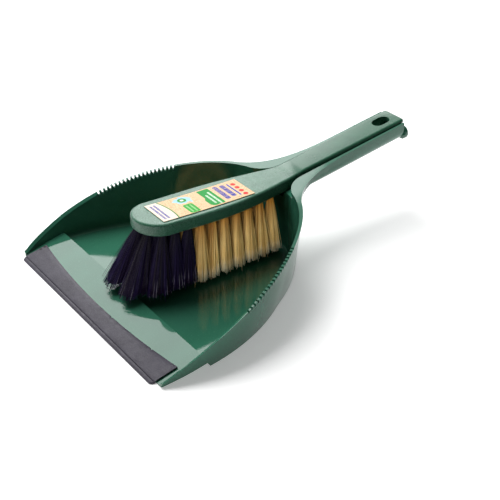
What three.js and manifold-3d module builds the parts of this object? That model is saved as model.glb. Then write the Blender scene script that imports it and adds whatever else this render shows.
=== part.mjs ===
// Dust pan with a hand brush nested in it: the brush head hangs over the pan's floor
// and the brush handle lies in the pan's hollow handle.
// Millimetres. X runs across, +Y from the mouth to the handle's end, +Z up; the base stands on z = 0.
// Every y below is measured from the pan's mouth; the last step centres the set on the origin.
import * as THREE from 'three';
import { mergeVertices } from 'three/addons/utils/BufferGeometryUtils.js';
import Module from 'manifold-3d';

const wasm = await Module();
wasm.setup();

const { degToRad, lerp, clamp, smoothstep } = THREE.MathUtils;

// ---- Pan: plan. Each side is one long arc; the two arcs meet behind the handle
// like a gothic arch with a blunted point.
const SIDE_RADIUS = 170;
const SIDE_CENTRE_X = -56;
const SIDE_CENTRE_Y = 42;
const SIDE_START = degToRad(-19);
const DRAFT = 0.19;
const DRAFT_FADE_FROM = degToRad(32);
const DRAFT_FADE_TO = degToRad(62);
const SIDE_STEPS = 34;
const APEX_SLOPE = 0.364;
const APEX_HALF = 70;
const APEX_Y = SIDE_CENTRE_Y + Math.sqrt(SIDE_RADIUS ** 2 - SIDE_CENTRE_X ** 2)
  - APEX_HALF * APEX_SLOPE / 2;
const FOOT_ROUND = 1.5;
const FOOT_SHARE = 0.04;

// ---- Pan: heights
const RIM_AT_MOUTH = 4.7;
const MOUTH_SLOPE = 0.46;
const MOUTH_DIP = 1.7;
const MOUTH_DIP_TO = 14;
const SWEEP_START = 40;
const SWEEP_END = 178;
const SWEEP_SLOPE = 0.405;
const HANDLE_SLOPE = 0.141;
const FLOOR_TOP = 2.5;
const WALL = 2.0;
const RIM_BAND_HEIGHT = 4.5;
const RIM_BAND_PROUD = 0.5;
const RIM_TOP_WIDTH = 2.6;
const RIM_LAND = 0.7;
const RIM_INNER_DROP = 1.8;
const RIM_INNER_DROP_SHARE = 0.3;
const RIM_FLAT_FROM = 95;
const RIM_SLOPED_TO = 70;
const RIM_WIDER_AT_NECK = 2.0;
const NECK_WIDENS_FROM = degToRad(40);
const FLOOR_FILLET = 3;
const CLEAR = 0.3;

// ---- Cutting blocks reach past everything they cut
const AHEAD_OF_ALL = -40;
const BEHIND_ALL = 260;
const BELOW_ALL = -5;
const ABOVE_ALL = 120;
const BESIDE_ALL = 140;

// ---- Pan: ramp behind the mouth, with its crest, and the step down to the floor
const MOUTH_EDGE = 1.0;
const CREST_Y = 38;
const CREST_TOP = 8.5;
const CREST_UNDER = 5.8;
const STEP_FOOT_INSIDE = 41.5;
const STEP_FOOT_UNDER = 42;

// ---- Pan: grip notches along both rims
const NOTCH_COUNT = 20;
const NOTCH_FIRST = degToRad(11.2);
const NOTCH_LAST = degToRad(34);
const NOTCH_DEPTH = 2.7;
const NOTCH_HALF_TOP = 1.0;
const NOTCH_HALF_BOTTOM = 0.6;
const NOTCH_INNER_END = 6;
const NOTCH_OUTER_END = -2;

// ---- Pan: channel-shaped handle with an end flange
const NECK_START = { x: 44, y: 177.6 };
const NECK_START_PULL = { x: -9.8, y: 7.5 };
const NECK_END = { x: 15.5, y: 255 };
const NECK_END_PULL = 57;
const GROOVE_MOUTH = { x: 28.5, y: 180 };
const GROOVE_MOUTH_PULL = { x: -8.5, y: 4.5 };
const GROOVE_STRAIGHT_FROM = 201.5;
const GROOVE_STRAIGHT_PULL = 11;
const HANDLE_END = 317;
const HANDLE_HALF = 15.2;
const HANDLE_DEPTH = 16.5;
const HANDLE_CORNER = 9;
const SHOULDER_EDGE = 4.5;
const GROOVE_HALF = 13.4;
const GROOVE_DEPTH = 13.8;
const GROOVE_CORNER = 7;
const GROOVE_END = 315;
const REST_DEPTH = 11;
const REST_RIBS = [226, 276];
const REST_RIB_HALF = 11.5;
const REST_RIB_THICK = 2;
const END_WALL_DROP = 1.2;
const FLANGE_FROM = 319;
const FLANGE_TO = 322;
const FLANGE_HALF = 15.8;
const FLANGE_TOP_DROP = 5.5;
const FLANGE_BOTTOM_DROP = 17.2;
const FLANGE_CORNER = 5.4;
const WAIST_INSET = 2.4;

// ---- Lip: soft strip along the mouth
const LIP_HALF = 102;
const LIP_OVERHANG = 5;
const LIP_THICK = 1.2;
const LIP_NOSE = 1.2;
const LIP_NOSE_DROP = 0.3;
const LIP_FRONT_HEIGHT = 0.9;
const LIP_BACK_AT_ENDS = 18.4;
const LIP_BACK_IN_MIDDLE = 11.4;
const LIP_CORNER = 4;

// ---- Brush: block and handle in one piece
const TOE_Y = 47.2;
const TOE_CENTRE_Y = 68;
const TOE_HALF = 20.7;
const TOE_PULL = 16;
const HEAD_HALF = 21.5;
const HEAD_WIDEST_Y = 112;
const HEAD_PULL_TO_TOE = 22;
const HEAD_PULL_TO_NECK = 45;
const BRUSH_NECK_HALF = 11.3;
const BRUSH_NECK_Y = 208;
const BRUSH_NECK_PULL = 25;
const BRUSH_END = 319.4;
const BRUSH_END_HALF = 12.5;
const BRUSH_END_CORNER = 2.5;
const HEAD_THICK = 10.4;
const TOP_EDGE_IN = 2.2;
const TOP_EDGE_DOWN = 2;
const BOTTOM_EDGE_IN = 1;
const BOTTOM_EDGE_UP = 1.2;
const BRUSH_PROUD = 2.5;
const SADDLE_Y = 187;
const SADDLE_TOP = 65.0;
const HEAD_CURVE = 0.00029;
const SADDLE_BLEND = 16;
const SADDLE_LEAD = 10;
const SKIN = 3;
const POCKET_FROM = 214;
const POCKET_HALF = 7.8;
const HOLE_Y = 302.4;
const HOLE_HALF_WIDTH = 5.7;
const HOLE_HALF_LENGTH = 8.6;
const PAN_HOLE_SMALLER = 0.8;

// ---- Label on top of the head
const LABEL_CENTRE_X = 1.5;
const LABEL_HALF = 14.5;
const LABEL_FROM = 64.5;
const LABEL_TO = 151.5;
const LABEL_THICK = 0.3;

// ---- Tufts: a ring that follows the head's edge and one staggered middle row
const TUFT_PITCH = 11.7;
const RING_HALF = 13.5;
const RING_EDGE_GAP = 3.8;
const RING_TUFTS_PER_SIDE = 11;
const DARK_RING_TUFTS = 4;
const MIDDLE_FIRST_Y = 70.2;
const MIDDLE_TUFTS = 9;
const DARK_MIDDLE_TUFTS = 2;
const ROOT_RADIUS = 2.3;
const ROOT_DEPTH = 7.2;
const BELOW_HEAD = 0.5;
const TIP_HEIGHT = 6.5;
const DARK_TIP_RISE = 2;
const TOE_TIP_RISE = 3.5;
const SIDE_FLARE = 3;
const TOE_FLARE = 10;
const FORWARD_LEAN = 0.075;
const LEAN_FROM_Y = 169;
const TIP_DEEP = 6.8;
const TIP_WIDE = 5.9;
const TOE_TIP_EXTRA = 2.2;
const TIP_DRAWN_IN = 0.8;
const WIDEST_ABOVE_TIP = 2;
const WIDEST_SPREAD = 0.96;
const HALF_SPREAD_LEVEL = 0.34;
const TUFT_SIDES = 10;

// ======== Solids ========

function closedSolid(geometry) {
  const bare = new THREE.BufferGeometry();
  bare.setAttribute('position', geometry.getAttribute('position'));
  bare.setIndex(geometry.getIndex());
  const merged = mergeVertices(bare, 1e-4);
  return new wasm.Manifold(new wasm.Mesh({
    numProp: 3,
    vertProperties: new Float32Array(merged.getAttribute('position').array),
    triVerts: new Uint32Array(merged.getIndex().array),
  }));
}

function solidGeometry(solid) {
  const { vertProperties, triVerts } = solid.getMesh();
  const geometry = new THREE.BufferGeometry();
  geometry.setAttribute('position', new THREE.BufferAttribute(new Float32Array(vertProperties), 3));
  geometry.setIndex(new THREE.BufferAttribute(new Uint32Array(triVerts), 1));
  return geometry;
}

function trianglesGeometry(triangles) {
  const solidOnes = triangles.filter(([a, b, c]) => {
    return a.distanceTo(b) > 1e-5 && b.distanceTo(c) > 1e-5 && c.distanceTo(a) > 1e-5;
  });
  const geometry = new THREE.BufferGeometry();
  geometry.setFromPoints(solidOnes.flat());
  return geometry;
}

// Closed body, the same left and right. `levels` run from the bottom up; each is a row of points
// on the right-hand side, from front to back.
function mirroredLoft(levels) {
  const mirrored = (point) => new THREE.Vector3(-point.x, point.y, point.z);
  const triangles = [];
  const quad = (a, b, c, d) => triangles.push([a, b, c], [a, c, d]);
  const last = levels[0].length - 1;
  for (let row = 0; row < levels.length - 1; row += 1) {
    const low = levels[row];
    const high = levels[row + 1];
    for (let i = 0; i < last; i += 1) {
      quad(low[i], low[i + 1], high[i + 1], high[i]);
      triangles.push([mirrored(low[i]), mirrored(high[i + 1]), mirrored(low[i + 1])]);
      triangles.push([mirrored(low[i]), mirrored(high[i]), mirrored(high[i + 1])]);
    }
    quad(mirrored(low[0]), low[0], high[0], mirrored(high[0]));
    quad(low[last], mirrored(low[last]), mirrored(high[last]), high[last]);
  }
  const bottom = levels[0];
  const top = levels[levels.length - 1];
  for (let i = 0; i < last; i += 1) {
    quad(mirrored(bottom[i]), mirrored(bottom[i + 1]), bottom[i + 1], bottom[i]);
    quad(top[i], top[i + 1], mirrored(top[i + 1]), mirrored(top[i]));
  }
  return closedSolid(trianglesGeometry(triangles));
}

// Closed tube through rings of points that run anticlockwise seen from above, lowest ring first.
function ringLoft(rings) {
  const triangles = [];
  const count = rings[0].length;
  for (let k = 0; k < count; k += 1) {
    const next = (k + 1) % count;
    for (let row = 0; row < rings.length - 1; row += 1) {
      const low = rings[row];
      const high = rings[row + 1];
      triangles.push([low[k], low[next], high[next]], [low[k], high[next], high[k]]);
    }
    if (k > 0 && next > 0) {
      const floor = rings[0];
      const roof = rings[rings.length - 1];
      triangles.push([floor[0], floor[next], floor[k]], [roof[0], roof[k], roof[next]]);
    }
  }
  return trianglesGeometry(triangles);
}

// Prism from a side view given as [y, z] corners, running across the whole width.
function sidePrism(corners, halfWidth) {
  const shape = new THREE.Shape(corners.map(([y, z]) => new THREE.Vector2(y, z)));
  const geometry = new THREE.ExtrudeGeometry(shape, { depth: 2 * halfWidth, bevelEnabled: false });
  const alongX = new THREE.Matrix4().makeBasis(
    new THREE.Vector3(0, 1, 0),
    new THREE.Vector3(0, 0, 1),
    new THREE.Vector3(1, 0, 0),
  );
  geometry.applyMatrix4(alongX);
  geometry.translate(-halfWidth, 0, 0);
  return closedSolid(geometry);
}

// Upright prism from a plan view.
function planPrism(shape, low, high, curveSegments) {
  const geometry = new THREE.ExtrudeGeometry(shape, {
    depth: high - low,
    bevelEnabled: false,
    curveSegments,
  });
  geometry.translate(0, 0, low);
  return closedSolid(geometry);
}

// ======== Heights ========

function rimHeight(y) {
  if (y < SWEEP_START) {
    const dip = MOUTH_DIP * clamp(1 - y / MOUTH_DIP_TO, 0, 1) ** 2;
    return RIM_AT_MOUTH + MOUTH_SLOPE * Math.max(y, 0) - dip;
  }
  const along = Math.min(y, SWEEP_END) - SWEEP_START;
  const bend = (SWEEP_SLOPE - HANDLE_SLOPE) / (2 * (SWEEP_END - SWEEP_START));
  const swept = RIM_AT_MOUTH + MOUTH_SLOPE * SWEEP_START + SWEEP_SLOPE * along - bend * along ** 2;
  return swept + HANDLE_SLOPE * Math.max(y - SWEEP_END, 0);
}

function rampHeight(y) {
  return lerp(MOUTH_EDGE, CREST_TOP, y / CREST_Y);
}

// The head is a shallow hollow curve that turns up into the handle's straight slope.
function brushTop(y) {
  if (y < SADDLE_Y) {
    return SADDLE_TOP + HEAD_CURVE * (SADDLE_Y - y) ** 2;
  }
  const blendEnd = SADDLE_Y + SADDLE_BLEND;
  const handleTop = rimHeight(y) + BRUSH_PROUD;
  if (y > blendEnd) {
    return handleTop;
  }
  return lerp(SADDLE_TOP, handleTop, smoothstep(y, SADDLE_Y, blendEnd));
}

function brushBottom(y) {
  const headBottom = brushTop(Math.min(y, SADDLE_Y)) - HEAD_THICK;
  const handleBottom = rimHeight(y) - REST_DEPTH + CLEAR;
  return lerp(headBottom, handleBottom, smoothstep(y, SADDLE_Y - SADDLE_LEAD, SADDLE_Y + SADDLE_BLEND));
}

// ======== Pan ========

function draftAt(angle) {
  const fade = (angle - DRAFT_FADE_FROM) / (DRAFT_FADE_TO - DRAFT_FADE_FROM);
  return DRAFT * (1 - clamp(fade, 0, 1));
}

function blunting(x) {
  return Math.max(APEX_HALF - x, 0) ** 2 * APEX_SLOPE / (2 * APEX_HALF);
}

// A place on the side's arc, `inset` inside the rim's outer line.
function onSide(angle, inset) {
  const radius = SIDE_RADIUS - inset;
  const x = SIDE_CENTRE_X + radius * Math.cos(angle);
  return { x, y: SIDE_CENTRE_Y + radius * Math.sin(angle) - blunting(x) };
}

// One level of a side wall: `insetAt` gives its distance inside the rim's outer line,
// `heightAt` its height, both for a place on the arc.
function sideLevel(insetAt, heightAt) {
  const points = [];
  const apexInset = insetAt(DRAFT_FADE_TO, APEX_Y);
  const apexAngle = Math.acos(-SIDE_CENTRE_X / (SIDE_RADIUS - apexInset));
  for (let i = 0; i <= SIDE_STEPS; i += 1) {
    const angle = lerp(SIDE_START, apexAngle, i / SIDE_STEPS);
    const rimY = onSide(angle, 0).y;
    const inset = i === SIDE_STEPS ? apexInset : insetAt(Math.min(angle, DRAFT_FADE_TO), rimY);
    const { x, y } = onSide(angle, inset);
    points.push(new THREE.Vector3(Math.max(x, 0), y, heightAt(rimY)));
  }
  return points;
}

function tubBlank() {
  const below = (rimY) => Math.min(RIM_BAND_HEIGHT, rimHeight(rimY) * 0.5);
  const inset = (drop, extra) => (angle, rimY) => draftAt(angle) * drop(rimY) + extra;
  const aboveFoot = (rimY) => rimHeight(rimY) * (1 - FOOT_SHARE);
  return mirroredLoft([
    sideLevel(inset(rimHeight, RIM_BAND_PROUD + FOOT_ROUND), () => 0),
    sideLevel(inset(aboveFoot, RIM_BAND_PROUD), (rimY) => rimHeight(rimY) * FOOT_SHARE),
    sideLevel(inset(below, RIM_BAND_PROUD), (rimY) => rimHeight(rimY) - below(rimY)),
    sideLevel(inset(below, 0), (rimY) => rimHeight(rimY) - below(rimY) + RIM_BAND_PROUD),
    sideLevel(() => 0, rimHeight),
  ]);
}

// Towards the mouth the rim's top slopes down into the pan; from the notches on it is flat.
function tubCavity() {
  const above = 4;
  const filletMiddle = FLOOR_FILLET * (1 - Math.SQRT1_2);
  const rimInset = (angle) => {
    const towardsNeck = clamp((angle - NECK_WIDENS_FROM) / (DRAFT_FADE_TO - NECK_WIDENS_FROM), 0, 1);
    return RIM_TOP_WIDTH + RIM_WIDER_AT_NECK * towardsNeck ** 2;
  };
  const wallInset = (height, extra) => (angle, rimY) => {
    const drop = rimHeight(rimY) - height(rimY);
    const fade = clamp(rimY / CREST_Y, 0, 1);
    const band = clamp(drop / RIM_BAND_HEIGHT, 0, 1) * (WALL - RIM_TOP_WIDTH + RIM_BAND_PROUD);
    return rimInset(angle) + band + draftAt(angle) * drop + extra * fade;
  };
  const sloped = (rimY) => 1 - clamp((rimY - RIM_SLOPED_TO) / (RIM_FLAT_FROM - RIM_SLOPED_TO), 0, 1);
  const topInset = (angle, rimY) => rimInset(angle) - (RIM_TOP_WIDTH - RIM_LAND) * sloped(rimY);
  const slopeFoot = (rimY) => {
    const drop = lerp(RIM_LAND, RIM_INNER_DROP, sloped(rimY));
    return rimHeight(rimY) - Math.min(drop, RIM_INNER_DROP_SHARE * rimHeight(rimY));
  };
  const atMost = (height, share) => (rimY) => Math.min(height, share * rimHeight(rimY));
  const atFloor = atMost(FLOOR_TOP, 0.4);
  const atFilletMiddle = atMost(FLOOR_TOP + filletMiddle, 0.5);
  const atFilletTop = atMost(FLOOR_TOP + FLOOR_FILLET, 0.6);
  const raised = (rimY) => rimHeight(rimY) + above;
  const cavity = mirroredLoft([
    sideLevel(wallInset(atFloor, FLOOR_FILLET), () => 0),
    sideLevel(wallInset(atFloor, FLOOR_FILLET), atFloor),
    sideLevel(wallInset(atFilletMiddle, filletMiddle), atFilletMiddle),
    sideLevel(wallInset(atFilletTop, 0), atFilletTop),
    sideLevel(wallInset(slopeFoot, 0), slopeFoot),
    sideLevel(topInset, rimHeight),
    sideLevel(topInset, raised),
  ]);
  const aboveFloor = sidePrism([
    [AHEAD_OF_ALL, MOUTH_EDGE],
    [0, MOUTH_EDGE],
    [CREST_Y, CREST_TOP],
    [STEP_FOOT_INSIDE, FLOOR_TOP],
    [BEHIND_ALL, FLOOR_TOP],
    [BEHIND_ALL, ABOVE_ALL],
    [AHEAD_OF_ALL, ABOVE_ALL],
  ], BESIDE_ALL);
  return cavity.intersect(aboveFloor);
}

// Everything in front of the mouth and the hollow underneath the ramp.
function mouthCutter() {
  return sidePrism([
    [AHEAD_OF_ALL, BELOW_ALL],
    [STEP_FOOT_UNDER, BELOW_ALL],
    [STEP_FOOT_UNDER, 0],
    [CREST_Y, CREST_UNDER],
    [0, 0],
    [0, ABOVE_ALL],
    [AHEAD_OF_ALL, ABOVE_ALL],
  ], BESIDE_ALL);
}

// Rows of a channel section with rounded lower corners, for a list of { x: half width, y } stations.
// Where a station is wider than the channel, its upper part spreads out into flat shoulders.
function channelLoft(stations, channelHalf, depth, cornerRadius, topAt) {
  const cornerSteps = 4;
  const levels = [];
  for (let k = 0; k <= cornerSteps; k += 1) {
    const turn = (k / cornerSteps) * Math.PI / 2;
    levels.push(stations.map(({ x, y }) => {
      const across = Math.min(x, channelHalf) - cornerRadius * (1 - Math.sin(turn));
      const up = cornerRadius * (1 - Math.cos(turn)) - depth;
      return new THREE.Vector3(across, y, rimHeight(y) + up);
    }));
  }
  levels.push(stations.map(({ x, y }) => new THREE.Vector3(x, y, rimHeight(y) - SHOULDER_EDGE)));
  levels.push(stations.map(({ x, y }) => new THREE.Vector3(x, y, topAt(y))));
  return mirroredLoft(levels);
}

function handleBlank() {
  const outline = new THREE.Path();
  outline.moveTo(NECK_START.x, NECK_START.y);
  outline.bezierCurveTo(NECK_START.x + NECK_START_PULL.x, NECK_START.y + NECK_START_PULL.y,
    NECK_END.x, NECK_END.y - NECK_END_PULL, NECK_END.x, NECK_END.y);
  outline.lineTo(HANDLE_HALF, HANDLE_END);
  return channelLoft(outline.getPoints(12), NECK_END.x, HANDLE_DEPTH, HANDLE_CORNER, rimHeight);
}

function handleGroove() {
  const outline = new THREE.Path();
  outline.moveTo(GROOVE_MOUTH.x, GROOVE_MOUTH.y);
  outline.bezierCurveTo(GROOVE_MOUTH.x + GROOVE_MOUTH_PULL.x, GROOVE_MOUTH.y + GROOVE_MOUTH_PULL.y,
    GROOVE_HALF, GROOVE_STRAIGHT_FROM - GROOVE_STRAIGHT_PULL, GROOVE_HALF, GROOVE_STRAIGHT_FROM);
  outline.lineTo(GROOVE_HALF, GROOVE_END);
  const above = (y) => rimHeight(y) + 4;
  return channelLoft(outline.getPoints(8), GROOVE_HALF, GROOVE_DEPTH, GROOVE_CORNER, above);
}

// Low cross ribs in the channel that carry the brush handle.
function restRib(y) {
  const intoFloor = 0.5;
  const depth = GROOVE_DEPTH - REST_DEPTH + intoFloor;
  const rib = new THREE.BoxGeometry(2 * REST_RIB_HALF, REST_RIB_THICK, depth);
  rib.rotateX(Math.atan(HANDLE_SLOPE));
  rib.translate(0, y, rimHeight(y) - REST_DEPTH - depth / 2);
  return closedSolid(rib);
}

// The end wall stops below the rim, so that the brush handle's end reaches over it.
function endGap() {
  const past = 2;
  const stations = [GROOVE_END - past, HANDLE_END + past].map((y) => ({ x: GROOVE_HALF, y }));
  const row = (rise) => stations.map(({ x, y }) => new THREE.Vector3(x, y, rimHeight(y) + rise));
  return mirroredLoft([row(-END_WALL_DROP), row(2 * past)]);
}

// Upright plate with rounded corners, `thick` deep, ending at y = `to`.
function endPlate(half, bottom, top, corner, to, thick) {
  const shape = new THREE.Shape();
  shape.absarc(half - corner, bottom + corner, corner, -Math.PI / 2, 0, false);
  shape.absarc(half - corner, top - corner, corner, 0, Math.PI / 2, false);
  shape.absarc(corner - half, top - corner, corner, Math.PI / 2, Math.PI, false);
  shape.absarc(corner - half, bottom + corner, corner, Math.PI, 1.5 * Math.PI, false);
  const options = { depth: thick, bevelEnabled: false, curveSegments: 5 };
  const geometry = new THREE.ExtrudeGeometry(shape, options);
  geometry.rotateX(Math.PI / 2);
  geometry.translate(0, to, 0);
  return closedSolid(geometry);
}

// A rounded flange at the handle's end, joined to it by a slightly smaller waist.
function endFlange() {
  const rim = rimHeight(HANDLE_END);
  const bottom = rim - FLANGE_BOTTOM_DROP;
  const top = rim - FLANGE_TOP_DROP;
  const overlap = 1;
  const waistThick = FLANGE_FROM - HANDLE_END + 2 * overlap;
  const waist = endPlate(FLANGE_HALF - WAIST_INSET, bottom + WAIST_INSET, top - WAIST_INSET / 2,
    FLANGE_CORNER - WAIST_INSET, FLANGE_FROM + overlap, waistThick);
  return waist.add(endPlate(FLANGE_HALF, bottom, top, FLANGE_CORNER, FLANGE_TO, FLANGE_TO - FLANGE_FROM));
}

function gripNotch(side, angle) {
  const above = 2;
  const shape = new THREE.Shape([
    new THREE.Vector2(-NOTCH_HALF_BOTTOM, -NOTCH_DEPTH),
    new THREE.Vector2(NOTCH_HALF_BOTTOM, -NOTCH_DEPTH),
    new THREE.Vector2(NOTCH_HALF_TOP, above),
    new THREE.Vector2(-NOTCH_HALF_TOP, above),
  ]);
  const depth = NOTCH_INNER_END - NOTCH_OUTER_END;
  const geometry = new THREE.ExtrudeGeometry(shape, { depth, bevelEnabled: false });
  const rimY = onSide(angle, 0).y;
  const slope = rimHeight(rimY + 0.5) - rimHeight(rimY - 0.5);
  const outward = new THREE.Vector3(side * Math.cos(angle), Math.sin(angle), 0);
  const along = new THREE.Vector3(-Math.sin(angle), side * Math.cos(angle), side * slope).normalize();
  const up = new THREE.Vector3().crossVectors(outward, along);
  geometry.applyMatrix4(new THREE.Matrix4().makeBasis(along, up, outward));
  const innerEnd = onSide(angle, NOTCH_INNER_END);
  geometry.translate(side * innerEnd.x, innerEnd.y, rimHeight(rimY));
  return closedSolid(geometry);
}

// Upright cutter for the slot near the end of both handles, `smaller` all round than the brush's.
function hangSlot(smaller) {
  const halfWidth = HOLE_HALF_WIDTH - smaller;
  const straight = HOLE_HALF_LENGTH - HOLE_HALF_WIDTH;
  const shape = new THREE.Shape();
  shape.absarc(0, HOLE_Y + straight, halfWidth, 0, Math.PI, false);
  shape.absarc(0, HOLE_Y - straight, halfWidth, Math.PI, 2 * Math.PI, false);
  return planPrism(shape, BELOW_ALL, ABOVE_ALL, 7);
}

function panBody() {
  let body = tubBlank().add(handleBlank());
  body = body.subtract(tubCavity()).subtract(handleGroove());
  for (const y of REST_RIBS) {
    body = body.add(restRib(y));
  }
  body = body.subtract(endGap()).add(endFlange());
  body = body.subtract(mouthCutter());
  for (let k = 0; k < NOTCH_COUNT; k += 1) {
    const angle = lerp(NOTCH_FIRST, NOTCH_LAST, k / (NOTCH_COUNT - 1));
    body = body.subtract(gripNotch(1, angle)).subtract(gripNotch(-1, angle));
  }
  return solidGeometry(body.subtract(hangSlot(PAN_HOLE_SMALLER)));
}

// ======== Lip ========

function lipStrip() {
  const wrapTop = rampHeight(0) + CLEAR + LIP_THICK;
  const backUnder = rampHeight(LIP_BACK_AT_ENDS) + CLEAR;
  const section = sidePrism([
    [-LIP_OVERHANG, 0],
    [-CLEAR, 0],
    [-CLEAR, rampHeight(0) + CLEAR],
    [LIP_BACK_AT_ENDS, backUnder],
    [LIP_BACK_AT_ENDS, backUnder + LIP_THICK],
    [0, wrapTop],
    [-LIP_NOSE, wrapTop - LIP_NOSE_DROP],
    [-LIP_OVERHANG, LIP_FRONT_HEIGHT],
  ], LIP_HALF);
  const sag = LIP_BACK_AT_ENDS - LIP_BACK_IN_MIDDLE;
  const backRadius = (LIP_HALF ** 2 + sag ** 2) / (2 * sag);
  const backCentre = LIP_BACK_IN_MIDDLE + backRadius;
  const reach = Math.asin(LIP_HALF / backRadius);
  const plan = new THREE.Shape();
  const front = -LIP_OVERHANG;
  plan.moveTo(-LIP_HALF, front + LIP_CORNER);
  plan.absarc(-LIP_HALF + LIP_CORNER, front + LIP_CORNER, LIP_CORNER, Math.PI, 1.5 * Math.PI, false);
  plan.absarc(LIP_HALF - LIP_CORNER, front + LIP_CORNER, LIP_CORNER, 1.5 * Math.PI, 2 * Math.PI, false);
  plan.absarc(0, backCentre, backRadius, 1.5 * Math.PI + reach, 1.5 * Math.PI - reach, true);
  return solidGeometry(section.intersect(planPrism(plan, BELOW_ALL, ABOVE_ALL, 8)));
}

// ======== Brush ========

// Right-hand outline of the brush seen from above, from the middle of the toe to the middle of the end.
function brushOutline() {
  const path = new THREE.Path();
  path.absellipse(0, TOE_CENTRE_Y, TOE_HALF, TOE_CENTRE_Y - TOE_Y, -Math.PI / 2, 0, false, 0);
  path.bezierCurveTo(TOE_HALF, TOE_CENTRE_Y + TOE_PULL, HEAD_HALF, HEAD_WIDEST_Y - HEAD_PULL_TO_TOE,
    HEAD_HALF, HEAD_WIDEST_Y);
  path.bezierCurveTo(HEAD_HALF, HEAD_WIDEST_Y + HEAD_PULL_TO_NECK,
    BRUSH_NECK_HALF, BRUSH_NECK_Y - BRUSH_NECK_PULL, BRUSH_NECK_HALF, BRUSH_NECK_Y);
  path.lineTo(BRUSH_END_HALF, BRUSH_END - BRUSH_END_CORNER);
  path.absarc(BRUSH_END_HALF - BRUSH_END_CORNER, BRUSH_END - BRUSH_END_CORNER, BRUSH_END_CORNER,
    0, Math.PI / 2, false);
  path.lineTo(0, BRUSH_END);
  return path;
}

function sampledOutline() {
  const stepsPerPiece = [9, 4, 12, 6, 3, 1];
  const samples = [];
  brushOutline().curves.forEach((curve, piece) => {
    const steps = stepsPerPiece[piece];
    for (let i = piece === 0 ? 0 : 1; i <= steps; i += 1) {
      const point = curve.getPoint(i / steps);
      const heading = curve.getTangent(i / steps);
      samples.push({ x: point.x, y: point.y, outX: heading.y, outY: -heading.x });
    }
  });
  return samples;
}

function brushBlank() {
  const samples = sampledOutline();
  const last = samples.length - 1;
  const level = (inset, heightAt) => samples.map((sample, i) => {
    const onAxis = i === 0 || i === last;
    const x = onAxis ? 0 : Math.max(sample.x - inset * sample.outX, 0);
    const y = sample.y - inset * sample.outY;
    return new THREE.Vector3(x, y, heightAt(y));
  });
  const levels = [
    level(BOTTOM_EDGE_IN, brushBottom),
    level(0, (y) => brushBottom(y) + BOTTOM_EDGE_UP),
  ];
  const roundingSteps = 3;
  for (let k = 0; k <= roundingSteps; k += 1) {
    const turn = (k / roundingSteps) * Math.PI / 2;
    const down = TOP_EDGE_DOWN * (1 - Math.sin(turn));
    levels.push(level(TOP_EDGE_IN * (1 - Math.cos(turn)), (y) => brushTop(y) - down));
  }
  return mirroredLoft(levels);
}

// The handle is hollow from below, under a skin that carries on over the pan's end flange.
function handlePocket() {
  const steps = 4;
  const past = 4;
  const row = (heightAt) => {
    const points = [];
    for (let i = 0; i <= steps; i += 1) {
      const y = lerp(POCKET_FROM, BRUSH_END + past, i / steps);
      points.push(new THREE.Vector3(POCKET_HALF, y, heightAt(y)));
    }
    return points;
  };
  return mirroredLoft([row(() => 0), row((y) => brushTop(y) - SKIN)]);
}

function endUndercut() {
  const clearOfWall = 0.5;
  const past = 6;
  const ends = [GROOVE_END - clearOfWall, BRUSH_END + past];
  const row = (heightAt) => ends.map((y) => new THREE.Vector3(BRUSH_END_HALF + past, y, heightAt(y)));
  return mirroredLoft([row(() => 0), row((y) => brushTop(y) - SKIN)]);
}

function brushBody(tufts) {
  let body = brushBlank().subtract(handlePocket()).subtract(endUndercut());
  body = body.subtract(hangSlot(0));
  for (const { rootX, rootY } of tufts) {
    const length = 2 * ROOT_DEPTH;
    const radius = ROOT_RADIUS + CLEAR;
    const hole = new THREE.CylinderGeometry(radius, radius, length, TUFT_SIDES);
    hole.rotateX(Math.PI / 2);
    hole.translate(rootX, rootY, brushBottom(rootY) + ROOT_DEPTH + CLEAR - length / 2);
    body = body.subtract(closedSolid(hole));
  }
  return solidGeometry(body);
}

function label() {
  const steps = 8;
  const row = (rise) => {
    const points = [];
    for (let i = 0; i <= steps; i += 1) {
      const y = lerp(LABEL_FROM, LABEL_TO, i / steps);
      points.push(new THREE.Vector3(LABEL_HALF, y, brushTop(y) + rise));
    }
    return points;
  };
  const card = solidGeometry(mirroredLoft([row(CLEAR), row(CLEAR + LABEL_THICK)]));
  card.translate(LABEL_CENTRE_X, 0, 0);
  return card;
}

// ======== Tufts ========

function headHalfWidth(y) {
  const samples = sampledOutline();
  const after = samples.findIndex((sample) => sample.y >= y);
  const a = samples[after - 1];
  const b = samples[after];
  return lerp(a.x, b.x, (y - a.y) / (b.y - a.y));
}

// Root and outward direction of the ring's tuft number `k`, counted from the toe.
function ringTuft(side, k) {
  const distance = (k + 0.5) * TUFT_PITCH;
  const quarter = RING_HALF * Math.PI / 2;
  if (distance < quarter) {
    const angle = distance / RING_HALF;
    const outX = side * Math.sin(angle);
    const outY = -Math.cos(angle);
    return { rootX: RING_HALF * outX, rootY: TOE_CENTRE_Y + RING_HALF * outY, outX, outY };
  }
  const rootY = TOE_CENTRE_Y + distance - quarter;
  const rootX = side * Math.min(RING_HALF, headHalfWidth(rootY) - RING_EDGE_GAP);
  return { rootX, rootY, outX: side, outY: 0 };
}

function allTufts() {
  const tufts = [];
  for (let k = 0; k < RING_TUFTS_PER_SIDE; k += 1) {
    for (const side of [1, -1]) {
      tufts.push({ ...ringTuft(side, k), dark: k < DARK_RING_TUFTS });
    }
  }
  for (let k = 0; k < MIDDLE_TUFTS; k += 1) {
    const rootY = MIDDLE_FIRST_Y + k * TUFT_PITCH;
    tufts.push({ rootX: 0, rootY, outX: 0, outY: 0, dark: k < DARK_MIDDLE_TUFTS });
  }
  return tufts;
}

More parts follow.
